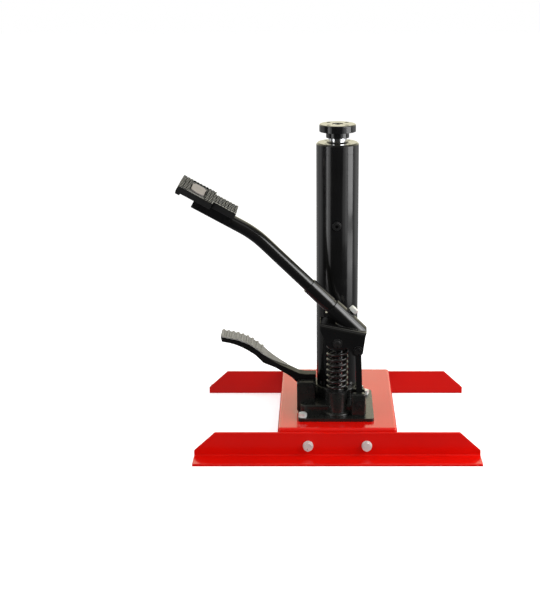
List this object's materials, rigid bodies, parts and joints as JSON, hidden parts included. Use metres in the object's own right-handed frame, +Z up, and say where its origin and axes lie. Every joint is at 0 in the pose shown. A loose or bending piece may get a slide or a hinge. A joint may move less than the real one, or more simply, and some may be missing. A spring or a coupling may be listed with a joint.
{
  "type": "foot-pumped hydraulic ram column on a two-rail base",
  "caption": "Floor-standing hydraulic ram column with a foot pump pedal and a release pedal, bolted to a folded channel across two angle rails.",
  "frame": {"origin": "on the floor, at the centre of the whole object's footprint", "axes": "+X along the rails to the right as the pump side is faced, +Y away from the pump side, +Z up"},
  "size_m": [0.4936, 0.37, 0.536],
  "materials": {
    "red_paint": "gloss",
    "black_paint": "gloss",
    "black_casting": "painted casting, slightly rough",
    "zinc": "zinc plated",
    "bright_steel": "machined",
    "dark_steel": "blackened steel pins and rings",
    "chrome": "hard chrome, polished",
    "spring_black": "black coated spring steel",
    "rubber": "moulded, matt",
    "seal": "seal rubber",
    "badge": "plain grey plate",
    "tread_grey": "worn grey",
    "gasket": "soft metal washer"
  },
  "bodies": {
    "base": {"front_rail": "red_paint", "rear_rail": "red_paint", "cross_channel": "red_paint", "rail_bolts": "zinc", "rail_washers": "zinc", "rail_nuts": "zinc", "pump_block": "black_casting", "base_bolts": "zinc", "base_washers": "zinc", "base_nuts": "zinc", "bottom_gasket": "gasket", "check_balls": "bright_steel", "check_springs": "bright_steel", "check_plugs": "black_casting", "overload_plug": "bright_steel", "overload_spring": "bright_steel", "overload_ball": "bright_steel", "reservoir_tube": "black_paint", "filler_plug": "rubber", "filler_washer": "seal", "pressure_cylinder": "bright_steel", "cylinder_gasket": "gasket", "suction_strainer": "bright_steel", "top_gland": "black_paint", "rod_seal": "seal", "wiper_seal": "seal", "pump_barrel": "dark_steel", "plunger_seal": "seal", "lower_spring_seat": "dark_steel", "link_lower_pin": "dark_steel", "link_lower_clips": "dark_steel", "release_pin": "dark_steel"},
    "ram": {"ram_rod": "chrome", "ram_piston": "bright_steel", "piston_seal": "seal", "piston_bearing": "gasket", "ram_head": "black_paint", "head_screw": "bright_steel"},
    "plunger": {"plunger": "chrome", "plunger_pin": "dark_steel", "plunger_pin_clips": "dark_steel", "upper_spring_seat": "dark_steel", "pump_spring": "spring_black"},
    "link": {"link_bar": "black_paint"},
    "pump_pedal": {"pedal_bracket": "black_paint", "link_upper_pin": "dark_steel", "link_upper_clips": "dark_steel", "link_spacers": "dark_steel", "arm_sleeve": "black_paint", "arm_tube": "black_paint", "clamp_bolt": "zinc", "pad_plate": "black_paint", "pad_rubber": "rubber", "pad_badge": "badge", "pad_screws": "black_paint"},
    "release_pedal": {"release_lever": "black_paint", "release_tread": "tread_grey"},
    "release_stem": {"release_stem": "bright_steel", "release_spring": "bright_steel", "release_ball": "bright_steel"}
  },
  "joints": [
    {"name": "ram_slide", "type": "slide", "parent": "base", "child": "ram", "axis": [0, 0, 1], "range_m": [0, 0.33]},
    {"name": "link_hinge", "type": "hinge", "parent": "base", "child": "link", "pos_m": [0.0469, -0.09, 0.081], "axis": [0, -1, 0], "range_deg": [-1.3, 0]},
    {"name": "pump_pedal_hinge", "type": "hinge", "parent": "link", "child": "pump_pedal", "pos_m": [0.0439, -0.09, 0.1745], "axis": [0, -1, 0], "range_deg": [0, 33.4], "stiffness_Nm_per_rad": 8, "springref_deg": -57.3},
    {"name": "plunger_slide", "type": "slide", "parent": "base", "child": "plunger", "axis": [0, 0, -1], "range_m": [0, 0.0204], "deforming": ["pump_spring"]},
    {"name": "release_pedal_hinge", "type": "hinge", "parent": "base", "child": "release_pedal", "pos_m": [-0.0346, -0.0525, 0.0995], "axis": [0, -1, 0], "range_deg": [0, 9], "stiffness_Nm_per_rad": 3, "springref_deg": -22.92},
    {"name": "release_stem_slide", "type": "slide", "parent": "base", "child": "release_stem", "axis": [0, 0, -1], "range_m": [0, 0.0026], "deforming": ["release_spring"]}
  ],
  "couplings": [
    {"joint": "link_hinge", "follows": "pump_pedal_hinge", "ratio": -0.036},
    {"joint": "plunger_slide", "follows": "pump_pedal_hinge", "m_per_rad": 0.034858},
    {"joint": "release_stem_slide", "follows": "release_pedal_hinge", "m_per_rad": 0.016}
  ]
}
